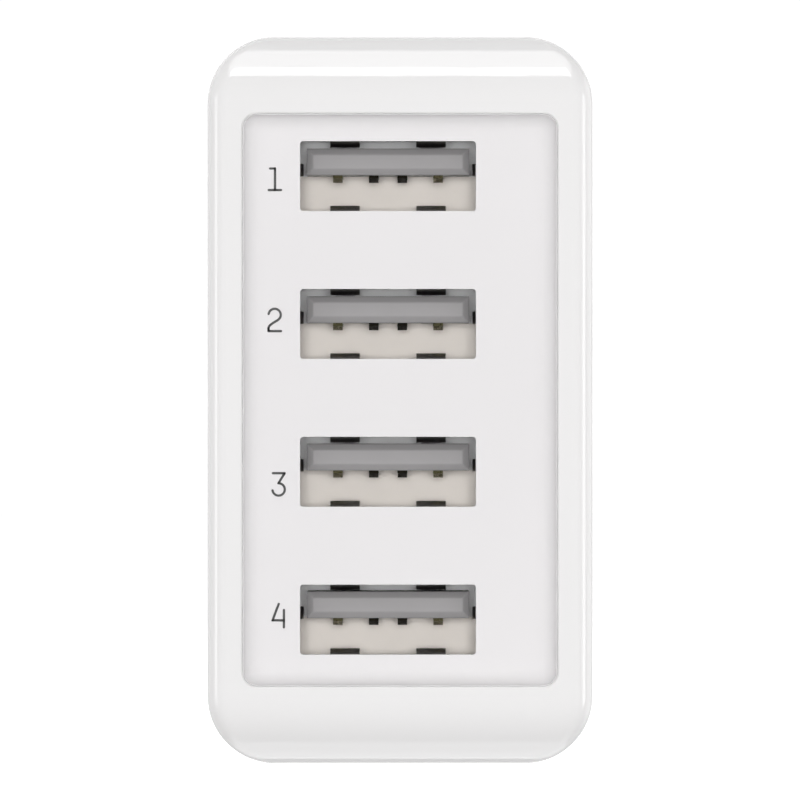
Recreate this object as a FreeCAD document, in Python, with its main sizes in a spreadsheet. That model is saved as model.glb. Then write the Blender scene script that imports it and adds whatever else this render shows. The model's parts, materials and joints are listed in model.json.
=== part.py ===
import FreeCAD, Part
import math
import os
import re
import Sketcher
from FreeCAD import Placement, Rotation, Vector

# Wall charger with four USB-A sockets and a fixed two-pin mains plug, in millimetres.
# +X is right and +Z up as the sockets are looked at; the sockets face -Y and the plug points along +Y.
# The origin lies at the foot, under the middle of the whole length.

PORT_COUNT = 4
TOLERANCE = 1e-3

# Driving sizes. Each is set here once, and the overall sizes follow from them.
SIZES = {
    # Port face
    "port_pitch": 10.29,
    "opening_width": 12.25,
    "opening_height": 4.87,
    "opening_corner": 0.25,
    "margin_left": 3.99,
    "margin_right": 5.66,
    "margin_top": 1.9,
    "margin_bottom": 2.2,
    # Housing
    "end_land": 0.66,
    "corner_radius": 4.75,
    "edge_round": 1.3,
    "side_wall": 1.8,
    "front_wall": 2.6,
    "window_bevel": 0.12,
    "rail_width": 1.2,
    "rail_height": 2.6,
    "rail_slack": 0.15,
    "seam_bevel": 0.25,
    # Front panel
    "seam_gap": 0.02,
    "lip_drop": 0.1,
    "lip_width": 0.05,
    "cove_round": 0.9,
    "cove_clear": 0.05,
    "flange_thick": 1.2,
    "flange_lap": 0.5,
    "fit_gap": 0.15,
    "port_lip": 0.55,
    "shell_slack": 0.1,
    # USB-A sockets
    "shell_reveal": 0.125,
    "shell_gauge": 0.3,
    "shell_depth": 12.9,
    "tongue_top_gap": 0.62,
    "tongue_side_gap": 0.6,
    "tongue_thick": 1.86,
    "tongue_inset": 1.2,
    "tongue_bevel": 0.45,
    "back_thick": 1.6,
    "back_gap": 0.02,
    "contact_width": 0.66,
    "contact_gauge": 0.2,
    "contact_drop": 0.5,
    "contact_run": 4.4,
    "contact_slack": 0.02,
    "power_spacing": 7.0,
    "power_inset": 2.2,
    "data_spacing": 2.0,
    "data_inset": 3.2,
    "spring_width": 2.04,
    "spring_spacing": 6.0,
    "spring_clear": 0.1,
    "spring_slot": 0.25,
    "spring_inset": 1.3,
    "spring_nose": 1.6,
    "spring_arm": 4.6,
    "side_spring_width": 0.85,
    "side_spring_reach": 0.36,
    "side_spring_rise": 0.45,
    # Boards
    "board_thick": 1.6,
    "board_gap": 0.4,
    "board_stand": 1.5,
    "board_edge_gap": 1.0,
    "board_end_gap": 0.3,
    "part_gap": 0.8,
    # Parts on the boards
    "output_cap_diameter": 8.0,
    "output_cap_height": 11.5,
    "rectifier_width": 10.0,
    "rectifier_thick": 4.6,
    "rectifier_height": 15.0,
    "rectifier_step": 1.8,
    "rectifier_neck": 6.0,
    "rectifier_hole": 3.4,
    "transformer_width": 18.0,
    "transformer_height": 15.0,
    "transformer_depth": 14.0,
    "core_thick": 6.0,
    "core_leg": 2.6,
    "core_post": 5.0,
    "coil_gap": 0.2,
    "coil_bevel": 1.5,
    "suppressor_diameter": 7.0,
    "suppressor_thick": 3.5,
    "bulk_cap_diameter": 8.0,
    "bulk_cap_height": 16.0,
    "choke_diameter": 8.5,
    "choke_height": 11.0,
    "chip_bevel": 0.3,
    "fuse_width": 8.4,
    "fuse_thick": 4.0,
    "fuse_height": 7.7,
    "bridge_width": 8.4,
    "bridge_depth": 6.4,
    "bridge_height": 3.4,
    "switch_width": 8.8,
    "switch_depth": 6.4,
    "switch_height": 3.3,
    "optocoupler_width": 6.4,
    "optocoupler_depth": 4.6,
    "optocoupler_height": 3.6,
    "charge_chip_width": 6.0,
    "charge_chip_depth": 3.9,
    "charge_chip_height": 1.5,
    # Rear cap and mains plug
    "cap_thick": 3.0,
    "cap_round": 1.8,
    "skirt_length": 3.0,
    "skirt_wall": 1.3,
    "nose_length": 16.0,
    "nose_width": 13.7,
    "nose_height": 35.3,
    "nose_end_width": 6.2,
    "nose_flat": 23.0,
    "nose_round": 1.4,
    "nose_bevel": 0.6,
    "pin_spacing": 18.6,
    "pin_tilt": 1.66,
    "pin_length": 19.0,
    "pin_radius": 2.0,
    "pin_tip_length": 1.5,
    "pin_tip_radius": 1.2,
    "pin_tail": 1.5,
    "sleeve_length": 10.0,
    "sleeve_radius": 1.8,
    "sleeve_wall": 0.4,
    "strip_gauge": 0.5,
    "strip_width": 3.0,
    "strip_foot": 2.4,
    "strip_gap": 0.1,
}

# Sizes that follow. Depths run from the plane of the port face towards the plug.
LAYOUT = {
    # Outside
    "window_width": "margin_left + opening_width + margin_right",
    "window_corner": "seam_gap + lip_width + cove_round + cove_clear",
    "window_height": f"margin_bottom + {PORT_COUNT - 1} * port_pitch + opening_height + margin_top",
    "rim_side": "side_wall + fit_gap + flange_lap",
    "rim_end": "corner_radius + end_land",
    "body_width": "window_width + 2 * rim_side",
    "body_height": "window_height + 2 * rim_end",
    "mid_z": "body_height / 2",
    "cavity_width": "body_width - 2 * side_wall",
    "cavity_height": "body_height - 2 * side_wall",
    "cavity_corner": "corner_radius - side_wall",
    # Ports
    "recess_depth": "lip_drop + cove_round + cove_clear",
    "port_x": "rim_side + margin_left + opening_width / 2 - body_width / 2",
    "lowest_port_z": "rim_end + margin_bottom + opening_height / 2",
    "shell_mouth": "recess_depth + port_lip",
    "shell_width": "opening_width + 2 * shell_reveal",
    "shell_height": "opening_height + 2 * shell_reveal",
    "tongue_width": "shell_width - 2 * tongue_side_gap",
    "tongue_foot": "shell_height / 2 - tongue_top_gap - tongue_thick",
    "back_front": "shell_depth - back_thick",
    "spring_reach": "tongue_top_gap - spring_clear",
    "spring_crest": "spring_inset + spring_nose",
    "spring_root": "spring_crest + spring_arm",
    # Boards, and the rows of parts on the main board with their rises from the middle
    "port_board_front": "shell_mouth + shell_depth",
    "main_board_front": "port_board_front + board_thick",
    "board_left": "board_stand - cavity_width / 2",
    "board_face": "board_left + board_thick",
    "row_1_depth": "max(output_cap_diameter; rectifier_thick; optocoupler_depth)",
    "row_1_mid": "main_board_front + part_gap + row_1_depth / 2",
    "output_cap_low": "rail_height + part_gap + (output_cap_diameter - cavity_height) / 2",
    "output_cap_high": "output_cap_low + output_cap_diameter + part_gap",
    "rectifier_rise": "output_cap_high + part_gap + (output_cap_diameter + rectifier_width) / 2",
    "optocoupler_rise": "rectifier_rise + part_gap + (rectifier_width + optocoupler_width) / 2",
    "row_2_front": "row_1_mid + row_1_depth / 2 + part_gap",
    "row_2_depth": "max(transformer_depth; fuse_thick + part_gap + switch_depth; "
                   "suppressor_thick + part_gap + bridge_depth)",
    "row_2_side": "transformer_width / 2 + part_gap",
    "row_3_depth": "max(bulk_cap_diameter; choke_diameter)",
    "row_3_mid": "row_2_front + row_2_depth + part_gap + row_3_depth / 2",
    "bulk_cap_rise": "(bulk_cap_diameter + part_gap) / 2",
    "choke_rise": "-bulk_cap_rise - part_gap - (bulk_cap_diameter + choke_diameter) / 2",
    "strip_front": "row_3_mid + row_3_depth / 2 + part_gap",
    "main_board_rear": "strip_front + strip_foot",
    # Rear end
    "housing_length": "main_board_rear + board_end_gap + skirt_length",
    "cap_rear": "housing_length + cap_thick",
    "plug_face": "cap_rear + nose_length",
    "total_length": "plug_face + pin_length",
    "front_y": "-total_length / 2",
    "pin_core_radius": "sleeve_radius - sleeve_wall",
    "tail_reach": "nose_length + cap_thick + pin_tail",
    "strip_rise": "pin_spacing / 2 + tail_reach * tan(pin_tilt)",
    "strip_rear": "plug_face - tail_reach * cos(pin_tilt) - strip_gap",
}

# A body's own planes. In a FRONT sketch x runs right and y up, in a SIDE one x runs into the depth and y up,
# in a TOP one x runs right and y into the depth.
FRONT = "XZ_Plane"
SIDE = "YZ_Plane"
TOP = "XY_Plane"

# The contacts of a socket, with how far each stands across from its middle and behind its mouth.
CONTACTS = {
    "power": ("power_spacing / 2", "power_inset"),
    "data_minus": ("data_spacing / 2", "data_inset"),
    "data_plus": ("-data_spacing / 2", "data_inset"),
    "ground": ("-power_spacing / 2", "power_inset"),
}

NAME = re.compile(r"[a-z][a-z_0-9]*")

doc = FreeCAD.newDocument("usb_charger")
subparts = []


def linked(text):
    """An expression with each size led by the sheet that holds it."""
    def lead(match):
        word = match.group()
        if word in SIZES:
            return "dims." + word
        if word in LAYOUT:
            return "layout." + word
        return word
    return NAME.sub(lead, text)


def fill_sheet(name, contents):
    sheet = doc.addObject("Spreadsheet::Sheet", name)
    for row, (alias, content) in enumerate(contents.items(), start=1):
        sheet.set(f"A{row}", alias)
        sheet.set(f"B{row}", content)
        sheet.setAlias(f"B{row}", alias)
    doc.recompute()
    return sheet


dims = fill_sheet("dims", {alias: str(value) for alias, value in SIZES.items()})
layout = fill_sheet("layout", {alias: "=" + linked(text) for alias, text in LAYOUT.items()})


def number(text):
    """What an expression of sizes comes to, in millimetres or degrees."""
    return float(layout.evalExpression(linked(text)))


def bind(item, expressions):
    for path, text in expressions.items():
        item.setExpression(path, linked(text))


def place(item, across="0", depth="0", rise="0"):
    """Sets an object's place: across from the middle, behind the port face, above the foot."""
    bind(item, {"Placement.Base.x": across, "Placement.Base.y": f"front_y + {depth}",
                "Placement.Base.z": rise})


def new_body(label, across="0", depth="0", rise="0"):
    body = doc.addObject("PartDesign::Body", label)
    place(body, across, depth, rise)
    subparts.append(body)
    return body


def sketch_on(body, plane, name, offset="0"):
    """An empty sketch on one of the body's own planes, or shifted from it.

    FRONT sketches shift into the depth, the others along their normals.
    """
    sketch = body.newObject("Sketcher::SketchObject", f"{body.Name}_{name}")
    support = [item for item in body.Origin.OriginFeatures if item.Role == plane]
    sketch.AttachmentSupport = [(support[0], "")]
    sketch.MapMode = "FlatFace"
    sign = "-" if plane == FRONT else ""
    bind(sketch, {"AttachmentOffset.Base.z": f"{sign}({offset})"})
    return sketch


def constrain(sketch, kind, *places, size=None):
    """Adds a constraint, bound to a size if one is given."""
    if size is None:
        sketch.addConstraint(Sketcher.Constraint(kind, *places))
        return
    index = sketch.addConstraint(Sketcher.Constraint(kind, *places, number(size)))
    bind(sketch, {f"Constraints[{index}]": size})


def corner_arc(corner, before, after, radius):
    """The arc that rounds a corner, and its end that meets the line before it."""
    arrive = (before - corner).normalize()
    leave = (after - corner).normalize()
    centre = corner + (arrive + leave) * radius
    turns_left = leave.cross(arrive).z > 0
    first = -leave if turns_left else -arrive
    start = math.atan2(first.y, first.x)
    arc = Part.ArcOfCircle(Part.Circle(centre, Vector(0, 0, 1), radius), start, start + math.pi / 2)
    return arc, 1 if turns_left else 2


def outline(sketch, corners):
    """A closed loop of corners (x, y), or (x, y, radius) where two lines along the axes meet in a round."""
    count = len(corners)
    points = [Vector(number(corner[0]), number(corner[1]), 0) for corner in corners]
    radii = [number(corner[2]) if len(corner) == 3 else 0 for corner in corners]
    following = [(i + 1) % count for i in range(count)]
    lines = []
    for i, j in enumerate(following):
        along = (points[j] - points[i]).normalize()
        line = Part.LineSegment(points[i] + along * radii[i], points[j] - along * radii[j])
        lines.append(sketch.addGeometry(line, False))
    for i, j in enumerate(following):
        if radii[i]:
            arc, meets = corner_arc(points[i], points[i - 1], points[j], radii[i])
            index = sketch.addGeometry(arc, False)
            constrain(sketch, "Tangent", lines[i - 1], 2, index, meets)
            constrain(sketch, "Tangent", index, 3 - meets, lines[i], 1)
            constrain(sketch, "Radius", index, size=corners[i][2])
        else:
            constrain(sketch, "Coincident", lines[i - 1], 2, lines[i], 1)
            constrain(sketch, "DistanceX", -1, 1, lines[i], 1, size=corners[i][0])
            constrain(sketch, "DistanceY", -1, 1, lines[i], 1, size=corners[i][1])
    for i, j in enumerate(following):
        level = abs(points[i].y - points[j].y) < TOLERANCE
        if radii[i] or radii[j]:
            constrain(sketch, "Horizontal" if level else "Vertical", lines[i])
        if radii[i] and radii[j]:
            constrain(sketch, "DistanceY" if level else "DistanceX", -1, 1, lines[i], 1,
                      size=corners[i][1 if level else 0])


def rectangle(sketch, x, y, width, height, radius=None):
    """A rectangle about a centre, with rounded corners if a radius is given."""
    low_x = f"{x} - ({width}) / 2"
    low_y = f"{y} - ({height}) / 2"
    high_x = f"{x} + ({width}) / 2"
    high_y = f"{y} + ({height}) / 2"
    corners = [(low_x, low_y), (high_x, low_y), (high_x, high_y), (low_x, high_y)]
    if radius:
        corners = [corner + (radius,) for corner in corners]
    outline(sketch, corners)


def circle(sketch, radius, x="0", y="0"):
    centre = Vector(number(x), number(y), 0)
    index = sketch.addGeometry(Part.Circle(centre, Vector(0, 0, 1), number(radius)), False)
    constrain(sketch, "Radius", index, size=radius)
    constrain(sketch, "DistanceX", -1, 1, index, 3, size=x)
    constrain(sketch, "DistanceY", -1, 1, index, 3, size=y)


def extrude(body, kind, sketch, length, evenly=False):
    """Pads or pockets a sketch: from a FRONT sketch into the depth, or evenly about any plane."""
    step = body.newObject("PartDesign::" + kind, f"{sketch.Name}_{kind.lower()}")
    step.Profile = sketch
    step.Midplane = evenly
    step.Reversed = kind == "Pad" and not evenly
    bind(step, {"Length": length})
    doc.recompute()
    return step


def rise_from_board(body, sketch, height):
    """Pads a SIDE sketch along +X."""
    step = body.newObject("PartDesign::Pad", sketch.Name + "_pad")
    step.Profile = sketch
    bind(step, {"Length": height})
    doc.recompute()


def turn(body, sketch):
    """Revolves a sketch about its own horizontal axis."""
    step = body.newObject("PartDesign::Revolution", sketch.Name + "_turn")
    step.Profile = sketch
    step.ReferenceAxis = (sketch, ["H_Axis"])
    step.Angle = 360
    doc.recompute()


def dress(body, kind, name, size, wanted):
    """Rounds (Fillet) or bevels (Chamfer) the edges of the body so far that a test picks by their box."""
    base = body.Tip
    edges = enumerate(base.Shape.Edges, start=1)
    names = [f"Edge{index}" for index, edge in edges if wanted(edge.BoundBox)]
    step = body.newObject("PartDesign::" + kind, f"{body.Name}_{name}")
    step.Base = (base, names)
    bind(step, {"Radius" if kind == "Fillet" else "Size": size})
    doc.recompute()


def at_depth(box, depth):
    """Whether an edge lies in the plane at a depth."""
    return abs(box.YMin - number(depth)) < TOLERANCE and abs(box.YMax - number(depth)) < TOLERANCE


def within(box, width, height):
    """Whether an edge lies inside a frame about the middle of the front view."""
    half_width = number(width) / 2 + TOLERANCE
    half_height = number(height) / 2 + TOLERANCE
    middle = number("mid_z")
    return (max(-box.XMin, box.XMax) < half_width
            and max(middle - box.ZMin, box.ZMax - middle) < half_height)


def make_housing():
    """The sleeve: rolled over at both ends of its front, rounded along the sides, open at the rear."""
    body = new_body("main_housing")
    sketch = sketch_on(body, FRONT, "section")
    rectangle(sketch, "0", "mid_z", "body_width", "body_height", "corner_radius")
    extrude(body, "Pad", sketch, "housing_length")
    roll_front_ends(body)

    sketch = sketch_on(body, FRONT, "cavity", "front_wall")
    rectangle(sketch, "0", "mid_z", "cavity_width", "cavity_height", "cavity_corner")
    extrude(body, "Pocket", sketch, "housing_length")

    sketch = sketch_on(body, FRONT, "window")
    rectangle(sketch, "0", "mid_z", "window_width", "window_height", "window_corner")
    extrude(body, "Pocket", sketch, "front_wall")
    dress(body, "Chamfer", "window_edge", "window_bevel",
          lambda box: at_depth(box, "0") and within(box, "window_width", "window_height"))

    add_rails(body)
    dress(body, "Chamfer", "seam", "seam_bevel",
          lambda box: at_depth(box, "housing_length") and not within(box, "cavity_width", "cavity_height"))


def roll_front_ends(body):
    """Rolls the top and foot into the front with the corner radius, then rounds the edges down the sides."""
    sketch = sketch_on(body, SIDE, "rolls")
    for edge, inward in (("0", "corner_radius"), ("body_height", "body_height - corner_radius")):
        points = [Vector(0, number(edge), 0), Vector(number("corner_radius"), number(edge), 0),
                  Vector(0, number(inward), 0)]
        centre = Vector(points[1].x, points[2].y, 0)
        start = math.pi if edge == "0" else math.pi / 2
        foot = sketch.addGeometry(Part.LineSegment(points[0], points[1]), False)
        face = sketch.addGeometry(Part.LineSegment(points[2], points[0]), False)
        whole = Part.Circle(centre, Vector(0, 0, 1), points[1].x)
        arc = sketch.addGeometry(Part.ArcOfCircle(whole, start, start + math.pi / 2), False)
        near, far = (2, 1) if edge == "0" else (1, 2)
        constrain(sketch, "Coincident", face, 2, foot, 1)
        constrain(sketch, "DistanceX", -1, 1, foot, 1, size="0")
        constrain(sketch, "DistanceY", -1, 1, foot, 1, size=edge)
        constrain(sketch, "Horizontal", foot)
        constrain(sketch, "Vertical", face)
        constrain(sketch, "Tangent", foot, 2, arc, near)
        constrain(sketch, "Tangent", arc, far, face, 1)
        constrain(sketch, "Radius", arc, size="corner_radius")
    extrude(body, "Pocket", sketch, "2 * body_width", evenly=True)

    side = number("body_width / 2 - corner_radius")
    front = number("corner_radius") + TOLERANCE
    dress(body, "Fillet", "side_edges", "edge_round",
          lambda box: box.YMax < front and abs(box.Center.x) > side)


def add_rails(body):
    """Ribs along the top and foot of the cavity that hold the main board by its edges.

    The outer ones run into the wall and follow its rounded corner.
    """
    sketch = sketch_on(body, FRONT, "rails", "main_board_front + part_gap")
    wall_middle = "side_wall / 2"
    corner_middle = f"corner_radius - (corner_radius - {wall_middle}) * sqrt(0.5)"
    top = "side_wall + rail_height"
    outer = "board_left - rail_slack"
    inner = "board_face + rail_slack"
    ribs = ([(f"{wall_middle} - body_width / 2", top), (f"{corner_middle} - body_width / 2", corner_middle),
             (outer, wall_middle), (outer, top)],
            [(inner, wall_middle), (f"{inner} + rail_width", wall_middle), (f"{inner} + rail_width", top),
             (inner, top)])
    for rib in ribs:
        outline(sketch, rib)
        outline(sketch, [(across, f"body_height - ({rise})") for across, rise in rib])
    extrude(body, "Pad", sketch, "main_board_rear - main_board_front - part_gap")


def make_panel():
    """The front panel: a shallow dish with a coved edge that fills the window, flanged behind the wall."""
    body = new_body("front_panel")
    sketch = sketch_on(body, FRONT, "flange", "front_wall")
    rectangle(sketch, "0", "mid_z", "window_width + 2 * flange_lap", "window_height + 2 * flange_lap")
    extrude(body, "Pad", sketch, "flange_thick")
    sketch = sketch_on(body, FRONT, "plate", "lip_drop")
    rectangle(sketch, "0", "mid_z", "window_width - 2 * seam_gap", "window_height - 2 * seam_gap",
              "window_corner - seam_gap")
    extrude(body, "Pad", sketch, "front_wall - lip_drop")
    sketch = sketch_on(body, FRONT, "dish", "lip_drop")
    rectangle(sketch, "0", "mid_z", "window_width - 2 * (seam_gap + lip_width)",
              "window_height - 2 * (seam_gap + lip_width)", "cove_round + cove_clear")
    extrude(body, "Pocket", sketch, "recess_depth - lip_drop")
    dress(body, "Fillet", "cove", "cove_round", lambda box: at_depth(box, "recess_depth"))

    opening = sketch_on(body, FRONT, "opening", "recess_depth")
    rectangle(opening, "port_x", "lowest_port_z", "opening_width", "opening_height", "opening_corner")
    cuts = [extrude(body, "Pocket", opening, "front_wall + flange_thick")]
    seat = sketch_on(body, FRONT, "seat", "shell_mouth")
    rectangle(seat, "port_x", "lowest_port_z", "shell_width + 2 * (shell_gauge + shell_slack)",
              "shell_height + 2 * (shell_gauge + shell_slack)")
    cuts.append(extrude(body, "Pocket", seat, "front_wall + flange_thick"))
    repeat = body.newObject("PartDesign::LinearPattern", "front_panel_ports")
    repeat.Originals = cuts
    axes = [item for item in body.Origin.OriginFeatures if item.Role == "Z_Axis"]
    repeat.Direction = (axes[0], [""])
    repeat.Occurrences = PORT_COUNT
    bind(repeat, {"Length": f"{PORT_COUNT - 1} * port_pitch"})
    body.Tip = repeat
    doc.recompute()


def make_cap():
    """The plate that closes the housing, with a skirt inside it and the plug's six-sided nose behind it."""
    body = new_body("rear_cap")
    sketch = sketch_on(body, FRONT, "plate", "housing_length")
    rectangle(sketch, "0", "mid_z", "body_width", "body_height", "corner_radius")
    extrude(body, "Pad", sketch, "cap_thick")
    dress(body, "Fillet", "edge", "cap_round", lambda box: at_depth(box, "cap_rear"))
    dress(body, "Chamfer", "seam", "seam_bevel", lambda box: at_depth(box, "housing_length"))

    sketch = sketch_on(body, FRONT, "skirt", "housing_length - skirt_length")
    rectangle(sketch, "0", "mid_z", "cavity_width - 2 * fit_gap", "cavity_height - 2 * fit_gap",
              "cavity_corner - fit_gap")
    rectangle(sketch, "0", "mid_z", "cavity_width - 2 * (fit_gap + skirt_wall)",
              "cavity_height - 2 * (fit_gap + skirt_wall)")
    extrude(body, "Pad", sketch, "skirt_length")
    add_nose(body)
    for upward in (True, False):
        bore_for_pin(body, upward)


def add_nose(body):
    sketch = sketch_on(body, FRONT, "nose", "cap_rear")
    half, end = "nose_width / 2", "nose_end_width / 2"
    flat, tip = "nose_flat / 2", "nose_height / 2"
    right = [(end, f"mid_z - {tip}"), (half, f"mid_z - {flat}"), (half, f"mid_z + {flat}"),
             (end, f"mid_z + {tip}")]
    left = [(f"-{x}", z) for x, z in reversed(right)]
    outline(sketch, right + left)
    extrude(body, "Pad", sketch, "nose_length")
    rear = number("cap_rear") - TOLERANCE
    length = number("nose_length") - TOLERANCE
    dress(body, "Fillet", "nose_corners", "nose_round",
          lambda box: box.YMin > rear and box.YLength > length)
    dress(body, "Chamfer", "nose_edge", "nose_bevel", lambda box: at_depth(box, "plug_face"))


def pin_side(upward):
    """Where a pin leaves the nose, and the axis it leans about towards its twin."""
    rise = f"mid_z {'+' if upward else '-'} pin_spacing / 2"
    return rise, Vector(-1 if upward else 1, 0, 0)


def bore_for_pin(body, upward):
    rise, axis = pin_side(upward)
    sketch = sketch_on(body, FRONT, "upper_bore" if upward else "lower_bore", "plug_face")
    circle(sketch, "pin_core_radius")
    sketch.AttachmentOffset = Placement(Vector(), Rotation(axis, number("pin_tilt")))
    bind(sketch, {"AttachmentOffset.Base.y": rise, "AttachmentOffset.Rotation.Angle": "pin_tilt"})
    extrude(body, "Pocket", sketch, "4 * tail_reach", evenly=True)


def make_pin(label, upward):
    """A round pin with a bevelled tip, thinner inside the nose and under the sleeve that covers its root."""
    rise, axis = pin_side(upward)
    for suffix, corners in (("pin", pin_profile()), ("sleeve", sleeve_profile())):
        body = new_body(f"{label}_{suffix}")
        body.Placement = Placement(Vector(), Rotation(axis, number("pin_tilt")))
        place(body, "0", "plug_face", rise)
        bind(body, {"Placement.Rotation.Angle": "pin_tilt"})
        sketch = sketch_on(body, SIDE, "profile")
        outline(sketch, corners)
        turn(body, sketch)


def pin_profile():
    return [("-tail_reach", "0"), ("pin_length", "0"), ("pin_length", "pin_tip_radius"),
            ("pin_length - pin_tip_length", "pin_radius"), ("sleeve_length", "pin_radius"),
            ("sleeve_length", "pin_core_radius"), ("-tail_reach", "pin_core_radius")]


def sleeve_profile():
    start = "sleeve_radius * tan(pin_tilt)"
    return [(start, "pin_core_radius"), ("sleeve_length", "pin_core_radius"),
            ("sleeve_length", "sleeve_radius"), (start, "sleeve_radius")]


def make_strip(label, upward):
    """A bent metal strip from the tail of a pin to its foot on the main board."""
    body = new_body(label, "0", "strip_rear", f"mid_z {'+' if upward else '-'} strip_rise")
    sketch = sketch_on(body, TOP, "bend")
    foot_end = "strip_front - strip_rear"
    outline(sketch, [("board_face", "0"), ("board_face", foot_end), ("board_face + strip_gauge", foot_end),
                     ("board_face + strip_gauge", "-strip_gauge"), ("pin_core_radius", "-strip_gauge"),
                     ("pin_core_radius", "0")])
    extrude(body, "Pad", sketch, "strip_width", evenly=True)


def make_port(index):
    """One socket: shell, tongue, rear insulator and contacts, about its centre in the plane of its mouth."""
    label = f"port_{index}"
    spot = ("port_x", "shell_mouth", f"lowest_port_z + {PORT_COUNT - index} * port_pitch")
    make_shell(new_body(label + "_shell", *spot))
    make_tongue(new_body(label + "_tongue", *spot))
    make_back(new_body(label + "_back", *spot))
    for name, (across, inset) in CONTACTS.items():
        make_contact(new_body(f"{label}_{name}_contact", *spot), across, inset)


def make_shell(body):
    """A folded sheet box with a pair of springs above, a pair below and one on each side."""
    sketch = sketch_on(body, FRONT, "wall")
    for gauge in ("0", "shell_gauge"):
        rectangle(sketch, "0", "0", f"shell_width + 2 * {gauge}", f"shell_height + 2 * {gauge}")
    extrude(body, "Pad", sketch, "shell_depth")

    slot_length = "spring_root - spring_inset + spring_slot"
    slot_middle = "(spring_root + spring_inset - spring_slot) / 2"
    sketch = sketch_on(body, TOP, "slots")
    for across in ("spring_spacing / 2", "-spring_spacing / 2"):
        rectangle(sketch, across, slot_middle, "spring_width + 2 * spring_slot", slot_length)
    extrude(body, "Pocket", sketch, "2 * shell_width", evenly=True)
    sketch = sketch_on(body, SIDE, "side_slots")
    rectangle(sketch, slot_middle, "side_spring_rise", slot_length, "side_spring_width + 2 * spring_slot")
    extrude(body, "Pocket", sketch, "2 * shell_width", evenly=True)

    for name, offset in (("left_springs", "-spring_spacing / 2"), ("right_springs", "spring_spacing / 2")):
        sketch = sketch_on(body, SIDE, name, offset)
        for sign in ("", "-"):
            profile = spring_profile("shell_height / 2", "spring_reach")
            outline(sketch, [(depth, f"{sign}({away})") for depth, away in profile])
        extrude(body, "Pad", sketch, "spring_width", evenly=True)
    sketch = sketch_on(body, TOP, "side_springs", "side_spring_rise")
    for sign in ("", "-"):
        profile = spring_profile("shell_width / 2", "side_spring_reach")
        outline(sketch, [(f"{sign}({away})", depth) for depth, away in profile])
    extrude(body, "Pad", sketch, "side_spring_width", evenly=True)


def spring_profile(wall, reach):
    """A bent strip, as (depth, distance from the middle): rooted in the wall, bowed in, tip turned out."""
    inside = [("spring_root + shell_gauge", wall), ("spring_crest", f"{wall} - {reach}"),
              ("spring_inset", f"{wall} - {reach} / 2")]
    outside = [(depth, f"{away} + shell_gauge") for depth, away in reversed(inside)]
    return inside + outside


def make_tongue(body):
    """The insulated bar that carries the contacts, bevelled round its front."""
    sketch = sketch_on(body, FRONT, "section", "tongue_inset")
    rectangle(sketch, "0", "tongue_foot + tongue_thick / 2", "tongue_width", "tongue_thick")
    extrude(body, "Pad", sketch, "back_front - tongue_inset")
    dress(body, "Chamfer", "front", "tongue_bevel", lambda box: at_depth(box, "tongue_inset"))


def make_back(body):
    """The insulator that closes the shell, slotted for the contacts."""
    sketch = sketch_on(body, FRONT, "section", "back_front")
    rectangle(sketch, "0", "0", "shell_width - 2 * back_gap", "shell_height - 2 * back_gap")
    extrude(body, "Pad", sketch, "back_thick")
    sketch = sketch_on(body, FRONT, "slots", "back_front")
    for across, _ in CONTACTS.values():
        rectangle(sketch, across, "tongue_foot - contact_gauge / 2", "contact_width + 2 * contact_slack",
                  "contact_gauge + 2 * contact_slack")
    extrude(body, "Pocket", sketch, "back_thick")


def make_contact(body, across, inset):
    """A strip along the foot of the tongue that bows down near its front."""
    crest = f"{inset} + contact_run / 3"
    knee = f"{inset} + contact_run"
    bow = "tongue_foot - contact_drop + contact_gauge"
    upper = [(inset, "tongue_foot"), (crest, bow), (knee, "tongue_foot"), ("shell_depth", "tongue_foot")]
    lower = [(depth, f"{height} - contact_gauge") for depth, height in reversed(upper)]
    sketch = sketch_on(body, SIDE, "strip", across)
    outline(sketch, upper + lower)
    extrude(body, "Pad", sketch, "contact_width", evenly=True)


def make_boards():
    body = new_body("port_board")
    sketch = sketch_on(body, FRONT, "sheet", "port_board_front")
    rectangle(sketch, "0", "mid_z", "cavity_width - 2 * board_gap", "cavity_height - 2 * cavity_corner")
    extrude(body, "Pad", sketch, "board_thick")

    body = new_body("main_board", "board_left")
    sketch = sketch_on(body, SIDE, "sheet")
    rectangle(sketch, "(main_board_front + main_board_rear) / 2", "mid_z",
              "main_board_rear - main_board_front", "cavity_height - 2 * board_edge_gap")
    rise_from_board(body, sketch, "board_thick")


def make_block(label, depth, rise, size):
    """A moulded block on the main board, of a size given as depth, width and height."""
    body = new_body(label, "board_face", depth, f"mid_z + {rise}")
    sketch = sketch_on(body, SIDE, "foot")
    rectangle(sketch, "0", "0", *size[:2])
    rise_from_board(body, sketch, size[2])
    top = number(size[2]) - TOLERANCE
    dress(body, "Chamfer", "top", "chip_bevel", lambda box: box.XMin > top)


def make_blocks():
    make_block("fuse", "row_2_front + fuse_thick / 2", "-(row_2_side + fuse_width / 2)",
               ("fuse_thick", "fuse_width", "fuse_height"))
    make_block("switching_chip", "row_2_front + fuse_thick + part_gap + switch_depth / 2",
               "-(row_2_side + switch_width / 2)", ("switch_depth", "switch_width", "switch_height"))
    make_block("bridge_rectifier", "row_2_front + suppressor_thick + part_gap + bridge_depth / 2",
               "row_2_side + bridge_width / 2", ("bridge_depth", "bridge_width", "bridge_height"))
    make_block("optocoupler", "row_1_mid", "optocoupler_rise",
               ("optocoupler_depth", "optocoupler_width", "optocoupler_height"))


def make_can(label, depth, rise, diameter, height):
    """A round part in a can or sleeve, standing on the main board."""
    can = doc.addObject("Part::Cylinder", label)
    can.Placement = Placement(Vector(), Rotation(Vector(0, 1, 0), 90))
    place(can, "board_face", depth, f"mid_z + {rise}")
    bind(can, {"Radius": f"{diameter} / 2", "Height": height})
    subparts.append(can)


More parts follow.
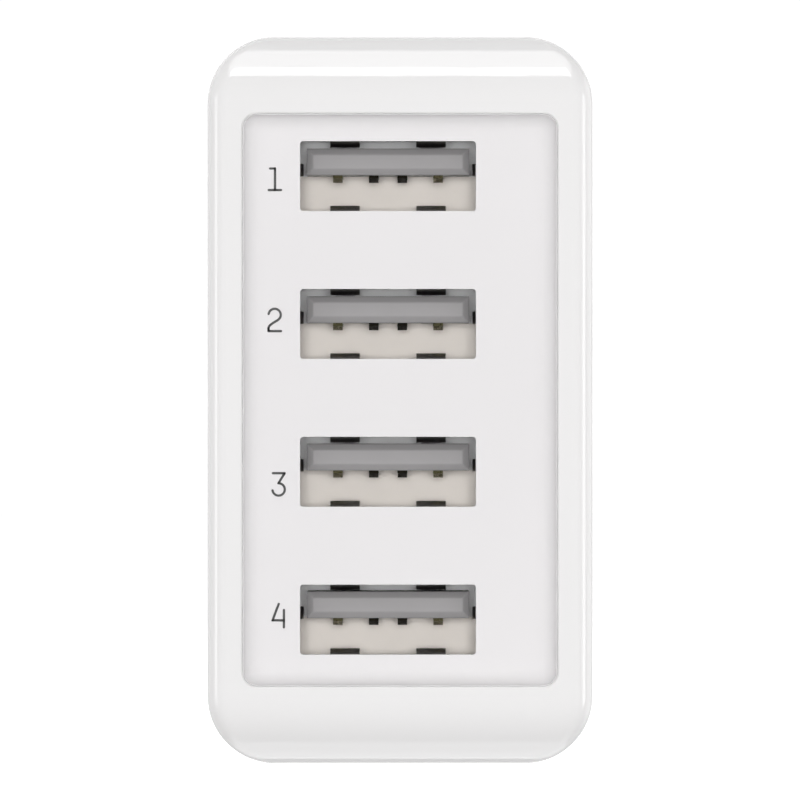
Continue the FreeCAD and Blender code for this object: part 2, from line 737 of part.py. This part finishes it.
def make_cans():
    output = ("output_cap_diameter", "output_cap_height")
    make_can("output_capacitor_lower", "row_1_mid", "output_cap_low", *output)
    make_can("output_capacitor_upper", "row_1_mid", "output_cap_high", *output)
    bulk = ("bulk_cap_diameter", "bulk_cap_height")
    make_can("bulk_capacitor_lower", "row_3_mid", "-bulk_cap_rise", *bulk)
    make_can("bulk_capacitor_upper", "row_3_mid", "bulk_cap_rise", *bulk)
    make_can("input_choke", "row_3_mid", "choke_rise", "choke_diameter", "choke_height")


def make_transformer():
    """A three-legged core with the coil round its middle leg."""
    spot = ("board_face", "row_2_front + row_2_depth / 2", "mid_z")
    body = new_body("transformer_core", *spot)
    sketch = sketch_on(body, FRONT, "frame", "-core_thick / 2")
    rectangle(sketch, "transformer_height / 2", "0", "transformer_height", "transformer_width")
    gap = "(transformer_width - core_post) / 2 - core_leg"
    for sign in ("", "-"):
        rectangle(sketch, "transformer_height / 2", f"{sign}(core_post + {gap}) / 2",
                  "transformer_height - 2 * core_leg", gap)
    extrude(body, "Pad", sketch, "core_thick")

    body = new_body("transformer_coil", "board_face + core_leg + coil_gap", *spot[1:])
    sketch = sketch_on(body, SIDE, "ring")
    rectangle(sketch, "0", "0", "transformer_depth", "transformer_width - 2 * (core_leg + coil_gap)")
    rectangle(sketch, "0", "0", "core_thick + 2 * coil_gap", "core_post + 2 * coil_gap")
    rise_from_board(body, sketch, "transformer_height - 2 * (core_leg + coil_gap)")
    outer = number("transformer_depth / 2") - TOLERANCE
    dress(body, "Chamfer", "corners", "coil_bevel",
          lambda box: box.ZLength < TOLERANCE and abs(box.Center.y) > outer)


def make_output_rectifier():
    """A flat package standing on end, stepped down to a neck with a screw hole."""
    body = new_body("output_rectifier", "board_face", "row_1_mid", "mid_z + rectifier_rise")
    sketch = sketch_on(body, SIDE, "foot")
    rectangle(sketch, "0", "0", "rectifier_thick", "rectifier_width")
    rise_from_board(body, sketch, "rectifier_height")
    sketch = sketch_on(body, TOP, "step")
    shoulder = "rectifier_height - rectifier_neck"
    back = "rectifier_thick / 2"
    outline(sketch, [(shoulder, f"{back} - rectifier_step"), ("rectifier_height", f"{back} - rectifier_step"),
                     ("rectifier_height", back), (shoulder, back)])
    extrude(body, "Pocket", sketch, "2 * rectifier_width", evenly=True)
    sketch = sketch_on(body, FRONT, "hole")
    circle(sketch, "rectifier_hole / 2", "rectifier_height - rectifier_neck / 2")
    extrude(body, "Pocket", sketch, "4 * rectifier_thick", evenly=True)


def make_suppressor():
    """A disc capacitor standing on its rim."""
    disc = doc.addObject("Part::Cylinder", "suppressor_capacitor")
    disc.Placement = Placement(Vector(), Rotation(Vector(-1, 0, 0), 90))
    place(disc, "board_face + suppressor_diameter / 2", "row_2_front",
          "mid_z + row_2_side + suppressor_diameter / 2")
    bind(disc, {"Radius": "suppressor_diameter / 2", "Height": "suppressor_thick"})
    subparts.append(disc)


def make_charge_chip():
    """The chip on the rear of the port board that sets the charging current."""
    chip = doc.addObject("Part::Box", "charge_chip")
    place(chip, "cavity_width / 2 - board_gap - part_gap - charge_chip_depth", "main_board_front",
          "mid_z - charge_chip_width / 2")
    bind(chip, {"Length": "charge_chip_depth", "Width": "charge_chip_height",
                "Height": "charge_chip_width"})
    subparts.append(chip)


def write_parts():
    """Checks every object, then writes each sub-part to a file of its own name."""
    doc.recompute()
    for item in doc.Objects:
        if "Invalid" in item.State or "Error" in item.State:
            raise RuntimeError(f"{item.Name} is in state {item.State}")
    os.makedirs("parts", exist_ok=True)
    for item in subparts:
        if item.Shape.isNull() or not item.Shape.isValid():
            raise RuntimeError(f"{item.Label} has no valid shape")
        item.Shape.exportStep(f"parts/{item.Label}.step")


make_housing()
make_panel()
make_cap()
for side, upward in (("line", True), ("neutral", False)):
    make_pin(side, upward)
    make_strip(side + "_strip", upward)
for port in range(1, PORT_COUNT + 1):
    make_port(port)
make_boards()
make_blocks()
make_cans()
make_transformer()
make_output_rectifier()
make_suppressor()
make_charge_chip()
write_parts()
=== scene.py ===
import json
import math
import re

import bpy
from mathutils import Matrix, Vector
from mathutils.geometry import interpolate_bezier


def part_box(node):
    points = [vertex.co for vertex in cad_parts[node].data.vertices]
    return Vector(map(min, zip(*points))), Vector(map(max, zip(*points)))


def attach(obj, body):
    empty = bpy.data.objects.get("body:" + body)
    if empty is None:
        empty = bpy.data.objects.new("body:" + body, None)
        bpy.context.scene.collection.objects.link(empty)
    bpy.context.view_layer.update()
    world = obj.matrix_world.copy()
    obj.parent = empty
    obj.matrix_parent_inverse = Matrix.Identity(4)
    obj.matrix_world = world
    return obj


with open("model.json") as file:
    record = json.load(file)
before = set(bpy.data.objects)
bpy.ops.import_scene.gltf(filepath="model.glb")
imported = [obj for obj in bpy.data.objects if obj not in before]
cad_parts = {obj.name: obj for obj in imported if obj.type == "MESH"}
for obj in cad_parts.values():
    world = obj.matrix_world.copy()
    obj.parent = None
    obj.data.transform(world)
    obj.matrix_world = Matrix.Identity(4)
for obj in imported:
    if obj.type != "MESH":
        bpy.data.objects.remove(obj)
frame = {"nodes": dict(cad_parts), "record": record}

# Looks of a wall charger with four USB-A sockets. Lengths are in metres, in the frame of the
# solids: +X is right and +Z up as the sockets are looked at, and the sockets face -Y.

MM = 0.001
PORTS = range(1, 5)
nodes = frame["nodes"]
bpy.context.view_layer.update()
housing_low, housing_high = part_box("main_housing")
front = housing_low.y
middle = (housing_low + housing_high) / 2

# Camera: the square image shows this width in the plane of the port face. The lens is long,
# because the photo shows hardly any perspective.
IMAGE_WIDTH = 55.64 * MM
LENS = 900
SENSOR = 36
CLIP_START, CLIP_END = 0.01, 20

# The panel's flat face lies this far behind the port face.
RECESS = 1.05 * MM

# Sockets: a face of the shell belongs to a spring, and gets the springs' painted shade, if it lies
# this far inside the outer walls, or if it looks forward from between two depths behind the mouth.
SPRING_INSET = 0.34 * MM
TIP_NEAR, TIP_FAR = 0.5 * MM, 5 * MM
FACING_FRONT = -0.9

# The opening in the panel starts this far inside the shell's outer side.
OPENING_INSET = 0.425 * MM

# Printed digits: width of a stroke, points along its round end and thickness of the ink.
STROKE = 0.165 * MM
CAP_STEPS = 8
INK = 0.012 * MM


# Materials

# Noise mostly stays between these two values.
NOISE_LOW, NOISE_HIGH = 0.3, 0.7
NOISE_DETAIL = 3.0

# Gloss varies in patches that are this many times smaller than those of the colour.
GLOSS_FINER = 3

ROUNDING_SAMPLES = 8


def new_material(name):
    """A new material with its tree and its shader."""
    material = bpy.data.materials.new(name)
    material.use_nodes = True
    tree = material.node_tree
    return material, tree, tree.nodes["Principled BSDF"]


def coordinate(tree, space, axis):
    """One coordinate of the shaded point in a space."""
    coordinates = tree.nodes.new("ShaderNodeTexCoord")
    parts = tree.nodes.new("ShaderNodeSeparateXYZ")
    tree.links.new(coordinates.outputs[space], parts.inputs["Vector"])
    return parts.outputs[axis]


def add_noise(tree, size, stretch=(1, 1, 1)):
    """Noise with features of a size in millimetres, drawn out along an axis by its stretch."""
    coordinates = tree.nodes.new("ShaderNodeTexCoord")
    mapping = tree.nodes.new("ShaderNodeMapping")
    mapping.inputs["Scale"].default_value = [1 / (size * MM * part) for part in stretch]
    noise = tree.nodes.new("ShaderNodeTexNoise")
    noise.inputs["Scale"].default_value = 1
    noise.inputs["Detail"].default_value = NOISE_DETAIL
    tree.links.new(coordinates.outputs["Object"], mapping.inputs["Vector"])
    tree.links.new(mapping.outputs["Vector"], noise.inputs["Vector"])
    return noise.outputs["Fac"]


def vary_colour(tree, shader, fac, colour, spread):
    """Moves the colour a little up and down with the noise."""
    ramp = tree.nodes.new("ShaderNodeValToRGB")
    ramp.color_ramp.elements[0].position = NOISE_LOW
    ramp.color_ramp.elements[1].position = NOISE_HIGH
    for element, factor in zip(ramp.color_ramp.elements, (1 - spread, 1 + spread)):
        element.color = [min(part * factor, 1) for part in colour] + [1]
    tree.links.new(fac, ramp.inputs["Fac"])
    tree.links.new(ramp.outputs["Color"], shader.inputs["Base Color"])


def vary_roughness(tree, shader, fac, low, high):
    """Moves the roughness between two values with the noise."""
    spread = tree.nodes.new("ShaderNodeMapRange")
    spread.inputs["From Min"].default_value = NOISE_LOW
    spread.inputs["From Max"].default_value = NOISE_HIGH
    spread.inputs["To Min"].default_value = low
    spread.inputs["To Max"].default_value = high
    tree.links.new(fac, spread.inputs["Value"])
    tree.links.new(spread.outputs["Result"], shader.inputs["Roughness"])


def add_bump(tree, shader, fac, depth, rounding):
    """Relief of a depth in millimetres, on edges that look round by a radius in millimetres."""
    bump = tree.nodes.new("ShaderNodeBump")
    bump.inputs["Strength"].default_value = 1
    bump.inputs["Distance"].default_value = depth * MM
    if rounding:
        edges = tree.nodes.new("ShaderNodeBevel")
        edges.samples = ROUNDING_SAMPLES
        edges.inputs["Radius"].default_value = rounding * MM
        tree.links.new(edges.outputs["Normal"], bump.inputs["Normal"])
    tree.links.new(fac, bump.inputs["Height"])
    tree.links.new(bump.outputs["Normal"], shader.inputs["Normal"])


def finish(name, colour, roughness, spread, patch, grain, depth, metallic=0.0,
           stretch=(1, 1, 1), specular=0.5, edge=(1, 1, 1), rounding=0.0):
    """A material with patches of slightly different colour and gloss and a fine grain.

    Patch, grain, depth of the grain and rounding are in millimetres. Edge tints the gloss, on
    metal at grazing angles.
    """
    material, tree, shader = new_material(name)
    shader.inputs["Metallic"].default_value = metallic
    shader.inputs["Specular IOR Level"].default_value = specular
    shader.inputs["Specular Tint"].default_value = (*edge, 1)
    vary_colour(tree, shader, add_noise(tree, patch), colour, spread)
    vary_roughness(tree, shader, add_noise(tree, patch / GLOSS_FINER, stretch), *roughness)
    add_bump(tree, shader, add_noise(tree, grain, stretch), depth, rounding)
    return material


def grey(level, warmth=0.0):
    """A grey that is a share redder and less blue by its warmth."""
    return (level * (1 + warmth), level, level * (1 - warmth))


LOOKS = {
    "housing_white": dict(colour=(0.722, 0.715, 0.715), roughness=(0.10, 0.15), spread=0.006,
                          patch=20, grain=1.6, depth=0.0006),
    "panel_white": dict(colour=(0.668, 0.655, 0.661), roughness=(0.55, 0.65), spread=0.008,
                        patch=12, grain=0.12, depth=0.0025, specular=0.03),
    "socket_steel": dict(colour=grey(0.78), roughness=(0.26, 0.36), spread=0.04,
                         patch=3, grain=0.08, depth=0.001, metallic=1, stretch=(1, 12, 1)),
    # Painted shade: the shell's steel made darker and warmer for the springs in the socket's mouth.
    "spring_painted_shade": dict(colour=grey(0.28, 0.06), roughness=(0.30, 0.42), spread=0.08,
                        patch=1.5, grain=0.06, depth=0.001, metallic=1, stretch=(1, 12, 1)),
    "tongue_grey": dict(colour=(0.223, 0.217, 0.219), roughness=(0.40, 0.50), spread=0.02,
                        patch=3, grain=0.08, depth=0.0015, rounding=0.2),
    "insulator_cream": dict(colour=(0.80, 0.75, 0.70), roughness=(0.40, 0.52), spread=0.02,
                            patch=3, grain=0.1, depth=0.002),
    # The olive tint is the gold's own. Its low brightness is painted shade for the contacts inside
    # the socket.
    "contact_gold": dict(colour=(0.125, 0.115, 0.062), roughness=(0.24, 0.34), spread=0.06,
                         patch=1, grain=0.05, depth=0.0008, metallic=0.6, stretch=(1, 10, 1),
                         edge=(0.7, 0.66, 0.48)),
    # Painted shade: the contacts' gold made much darker for the inner contacts, which sit deeper in
    # the socket.
    "contact_painted_shade": dict(colour=(0.022, 0.019, 0.014), roughness=(0.28, 0.38), spread=0.06,
                         patch=1, grain=0.05, depth=0.0008, metallic=0.6, stretch=(1, 10, 1),
                         specular=0.06, edge=(0.14, 0.13, 0.10)),
    "pin_nickel": dict(colour=(0.70, 0.68, 0.64), roughness=(0.16, 0.26), spread=0.03,
                       patch=4, grain=0.1, depth=0.0012, metallic=1, stretch=(1, 14, 1)),
    "sleeve_dark": dict(colour=grey(0.035), roughness=(0.38, 0.48), spread=0.06,
                        patch=3, grain=0.15, depth=0.003),
    "board_green": dict(colour=(0.02, 0.12, 0.05), roughness=(0.28, 0.38), spread=0.12,
                        patch=5, grain=0.4, depth=0.003),
    "ferrite": dict(colour=grey(0.05), roughness=(0.45, 0.60), spread=0.12,
                    patch=2, grain=0.2, depth=0.006),
    "coil_tape": dict(colour=(0.75, 0.55, 0.06), roughness=(0.30, 0.42), spread=0.05,
                      patch=4, grain=0.5, depth=0.004),
    "strip_brass": dict(colour=(0.72, 0.54, 0.25), roughness=(0.22, 0.34), spread=0.05,
                        patch=3, grain=0.1, depth=0.001, metallic=1),
    "can_sleeve": dict(colour=(0.02, 0.03, 0.07), roughness=(0.22, 0.32), spread=0.1,
                       patch=4, grain=0.4, depth=0.002),
    "chip_black": dict(colour=grey(0.03), roughness=(0.45, 0.58), spread=0.1,
                       patch=2, grain=0.1, depth=0.004),
    "disc_blue": dict(colour=(0.03, 0.16, 0.42), roughness=(0.22, 0.34), spread=0.06,
                      patch=3, grain=0.5, depth=0.004),
    "ink_grey": dict(colour=grey(0.085), roughness=(0.45, 0.60), spread=0.06,
                     patch=0.5, grain=0.06, depth=0.001),
}
FINISHES = {name: finish(name, **look) for name, look in LOOKS.items()}


def dress_nodes():
    """Gives each solid the finish of its slot in the record. The inner contacts get a darker copy of
    the contacts' gold, painted shade for their place deeper in the socket.
    """
    for row in frame["record"]["subparts"]:
        mesh = nodes[row["node"]].data
        mesh.materials.clear()
        mesh.materials.append(FINISHES[row["material_slot"]])
    # Painted shade: the inner contacts, deeper in the socket, take the darker copy of the gold.
    for port in PORTS:
        for line_name in ("data_minus", "data_plus"):
            contact = nodes[f"port_{port}_{line_name}_contact"]
            contact.data.materials[0] = FINISHES["contact_painted_shade"]


def grey_above_tongues():
    """From the lower edge of the tongue upwards, the insulator of each socket is a neutral grey."""
    first, second = (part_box(f"port_{port}_tongue")[0].z for port in (1, 2))
    tree = FINISHES["insulator_cream"].node_tree
    base = tree.nodes["Principled BSDF"].inputs["Base Color"]
    # From one tongue's edge up to the next one's, the height runs from 0 to 1. The upper half of
    # that way lies below a tongue and keeps its colour.
    height = coordinate(tree, "Object", "Z")
    steps = (("SUBTRACT", first), ("DIVIDE", first - second), ("FRACT", 0), ("GREATER_THAN", 0.5))
    for operation, number in steps:
        step = tree.nodes.new("ShaderNodeMath")
        step.operation = operation
        step.inputs[1].default_value = number
        tree.links.new(height, step.inputs[0])
        height = step.outputs["Value"]
    mute = tree.nodes.new("ShaderNodeHueSaturation")
    tree.links.new(base.links[0].from_socket, mute.inputs["Color"])
    tree.links.new(height, mute.inputs["Saturation"])
    tree.links.new(mute.outputs["Color"], base)


def paint_shade_on_springs(port):
    """The springs of a socket stand inside its walls; they get a darker, warmer copy of the shell's
    steel as painted shade.
    """
    mesh = nodes[f"port_{port}_shell"].data
    mesh.materials.append(FINISHES["spring_painted_shade"])
    low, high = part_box(f"port_{port}_shell")
    for face in mesh.polygons:
        spot = face.center
        within = (low.x + SPRING_INSET < spot.x < high.x - SPRING_INSET
                  and low.z + SPRING_INSET < spot.z < high.z - SPRING_INSET)
        tip = face.normal.y < FACING_FRONT and TIP_NEAR < spot.y - low.y < TIP_FAR
        if within or tip:
            # These spring faces take the painted shade.
            face.material_index = 1


# Printed digits


def arc(centre, radius, start, end, steps=20):
    """Points along an arc between two angles in degrees."""
    angles = [math.radians(start + (end - start) * step / steps) for step in range(steps + 1)]
    return [Vector((centre[0] + radius * math.cos(a), centre[1] + radius * math.sin(a)))
            for a in angles]


def curve(start, pull_start, pull_end, end, steps=16):
    """Points along a curve that leaves its start and reaches its end towards the two pulls."""
    handles = (Vector((*spot, 0)) for spot in (start, pull_start, pull_end, end))
    return [point.to_2d() for point in interpolate_bezier(*handles, steps)]


def line(*spots):
    """The points of a straight stroke."""
    return [Vector(spot) for spot in spots]


def digit_strokes():
    """The strokes of each digit, in millimetres from the lower left end of its middle lines."""
    two_top = arc((0.425, 1.13), 0.425, 172, -30)
    return {
        1: [line((0, 0), (0.86, 0)),
            line((0.44, 0), (0.44, 1.5)),
            line((0.10, 1.5), (0.44, 1.5))],
        2: [two_top + curve(two_top[-1], (0.64, 0.66), (0, 0.52), (0, 0.18)),
            line((0, 0.18), (0, 0)),
            line((0, 0), (0.87, 0))],
        3: [line((0.03, 1.57), (0.85, 1.57)),
            line((0.85, 1.57), (0.42, 0.87)),
            arc((0.43, 0.44), 0.43, 92, -170)],
        4: [line((0.43, 1.63), (0, 0.49)),
            line((0, 0.49), (0.79, 0.49)),
            line((0.79, 1.21), (0.79, 0))],
    }


# Where each digit's lower left end lies, in millimetres from the left edge and the middle of its
# opening.
DIGIT_PLACES = {1: (-2.18, -0.97), 2: (-2.19, -0.50), 3: (-1.92, -1.67), 4: (-1.91, -0.54)}


def stroke_outline(points, half):
    """The outline of a stroke with round ends, from its middle line and half its width."""
    along = [(b - a).normalized() for a, b in zip(points, points[1:])]
    turns = [along[0]] + [(a + b).normalized() for a, b in zip(along, along[1:])] + [along[-1]]
    sides = [Vector((-t.y, t.x)) * half for t in turns]
    left = [p + s for p, s in zip(points, sides)]
    right = [p - s for p, s in zip(points, sides)]

    def cap(centre, side):
        angle = math.degrees(math.atan2(side.y, side.x))
        return arc(centre, half, angle, angle - 180, CAP_STEPS)[1:-1]

    return left + cap(points[-1], sides[-1]) + right[::-1] + cap(points[0], -sides[0])


def print_digit(port):
    """One digit as a thin film of ink on the panel, left of its opening."""
    face = front + RECESS
    low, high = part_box(f"port_{port}_shell")
    opening_left = low.x + OPENING_INSET
    corner = Vector((opening_left, (low.z + high.z) / 2)) + Vector(DIGIT_PLACES[port]) * MM
    vertices, faces = [], []
    for points in digit_strokes()[port]:
        outline = stroke_outline([corner + point * MM for point in points], STROKE / 2)
        faces.append(range(len(vertices), len(vertices) + len(outline)))
        vertices += [(spot.x, face - INK / 2, spot.y) for spot in outline]
    mesh = bpy.data.meshes.new(f"digit_{port}")
    mesh.from_pydata(vertices, [], faces)
    mesh.materials.append(FINISHES["ink_grey"])
    digit = bpy.data.objects.new(f"digit_{port}", mesh)
    bpy.context.scene.collection.objects.link(digit)
    film = digit.modifiers.new("film", "SOLIDIFY")
    film.thickness = INK
    film.offset = 0
    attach(digit, "root")


# Floor, light and camera

FLOOR_HALF = 3.0
FLOOR_LEVEL = -0.02 * MM
FLOOR_GREY, FLOOR_SPREAD = 0.42, 0.01
FLOOR_PATCH = 40
FLOOR_ROUGHNESS = 0.9
FLOOR_GLOW = 0.80

# Brightness of the room by place, from round the camera (0) to behind the charger (1).
ROOM = ((0.16, 0.06), (0.50, 0.50), (0.72, 0.82), (0.95, 0.84), (0.98, 1.04))

# Power of a lamp for each unit of its area and its radiance.
LAMP_POWER = 4


def make_floor():
    """A pale floor that glows, so that it is white in every view, and sheds no light."""
    half, level = FLOOR_HALF, FLOOR_LEVEL
    mesh = bpy.data.meshes.new("floor")
    mesh.from_pydata(
        [(-half, -half, level), (half, -half, level), (half, half, level), (-half, half, level)],
        [], [range(4)])
    material, tree, shader = new_material("floor_white")
    vary_colour(tree, shader, add_noise(tree, FLOOR_PATCH), grey(FLOOR_GREY), FLOOR_SPREAD)
    shader.inputs["Roughness"].default_value = FLOOR_ROUGHNESS
    shader.inputs["Specular IOR Level"].default_value = 0
    shader.inputs["Emission Color"].default_value = (1, 1, 1, 1)
    shader.inputs["Emission Strength"].default_value = FLOOR_GLOW
    mesh.materials.append(material)
    floor = bpy.data.objects.new("floor", mesh)
    floor.visible_diffuse = False
    floor.visible_glossy = False
    floor.visible_shadow = False
    bpy.context.scene.collection.objects.link(floor)


def make_surroundings():
    """A white room, dim round the camera and brightest straight behind the charger."""
    world = bpy.data.worlds.new("room")
    world.use_nodes = True
    tree = world.node_tree
    background = tree.nodes["Background"]
    background.inputs["Color"].default_value = (1, 1, 1, 1)
    place = tree.nodes.new("ShaderNodeMapRange")
    place.inputs["From Min"].default_value = -1
    ramp = tree.nodes.new("ShaderNodeValToRGB")
    ramp.color_ramp.interpolation = "EASE"
    while len(ramp.color_ramp.elements) < len(ROOM):
        ramp.color_ramp.elements.new(0.5)
    for element, (position, level) in zip(ramp.color_ramp.elements, ROOM):
        element.position = position
        element.color = (level, level, level, 1)
    tree.links.new(coordinate(tree, "Generated", "Y"), place.inputs["Value"])
    tree.links.new(place.outputs["Result"], ramp.inputs["Fac"])
    tree.links.new(ramp.outputs["Color"], background.inputs["Strength"])
    bpy.context.scene.world = world


def softbox(name, azimuth, elevation, size, radiance, distance=0.8, glossy=True, diffuse=True,
            only=None):
    """A lamp of an even brightness, in the gloss, on the surfaces or both.

    Azimuth runs right of the camera and elevation above it, in degrees. Size is the width and
    height in degrees, seen from the charger. A lamp for only one collection lights nothing else.
    """
    a, e = math.radians(azimuth), math.radians(elevation)
    away = Vector((math.sin(a) * math.cos(e), -math.cos(a) * math.cos(e), math.sin(e)))
    width, height = (2 * distance * math.tan(math.radians(angle) / 2) for angle in size)
    light = bpy.data.lights.new(name, "AREA")
    light.shape = "RECTANGLE"
    light.size, light.size_y = width, height
    light.energy = LAMP_POWER * width * height * radiance
    light.cycles.use_multiple_importance_sampling = glossy
    lamp = bpy.data.objects.new(name, light)
    lamp.location = Vector((0, front, middle.z)) + away * distance
    lamp.rotation_mode = "QUATERNION"
    lamp.rotation_quaternion = away.to_track_quat("Z", "Y")
    lamp.visible_camera = False
    lamp.visible_glossy = glossy
    lamp.visible_diffuse = diffuse
    lamp.light_linking.receiver_collection = only
    bpy.context.scene.collection.objects.link(lamp)


def make_lights():
    """Lamps in front light the surfaces, lamps round the sides show in the housing's gloss."""
    sockets = bpy.data.collections.new("sockets")
    for name, node in nodes.items():
        if re.fullmatch(r"port_\d_.*", name):
            sockets.objects.link(node)
    beam = dict(azimuth=0, elevation=0.65, size=(8, 5), distance=3, glossy=False)
    softbox("socket_lamp", radiance=110, only=sockets, **beam)
    softbox("front_lamp", radiance=30, **beam)
    softbox("broad_lamp", 0, 3, (120, 110), 1.02, glossy=False)
    softbox("top_front_lamp", 1, 58, (21, 13), 9, diffuse=False)
    softbox("top_lamp", 0, 84, (40, 38), 2.2, diffuse=False)
    softbox("top_back_lamp", 0, 123, (40, 36), 0.7, glossy=False)
    softbox("foot_lamp", 0, -110, (40, 50), 1.3, diffuse=False)
    softbox("left_lamp", -66, 0, (14, 40), 3, diffuse=False)
    softbox("left_back_lamp", -128, 20, (44, 60), 1.2, glossy=False)
    softbox("right_lamp", 66, 0, (20, 40), 3.1, diffuse=False)
    softbox("right_wall_lamp", 113, 0, (44, 60), 0.8)


def make_camera():
    """A camera square on to the port face, at the distance that gives the image its width."""
    data = bpy.data.cameras.new("camera")
    data.lens = LENS
    data.sensor_width = SENSOR
    data.clip_start, data.clip_end = CLIP_START, CLIP_END
    camera = bpy.data.objects.new("camera", data)
    camera.location = (0, front - IMAGE_WIDTH * LENS / SENSOR, middle.z)
    camera.rotation_euler = (math.pi / 2, 0, 0)
    bpy.context.scene.collection.objects.link(camera)
    bpy.context.scene.camera = camera


dress_nodes()
grey_above_tongues()
for port in PORTS:
    paint_shade_on_springs(port)
    print_digit(port)
make_floor()
make_surroundings()
make_lights()
make_camera()
bpy.context.scene.view_settings.view_transform = "Standard"
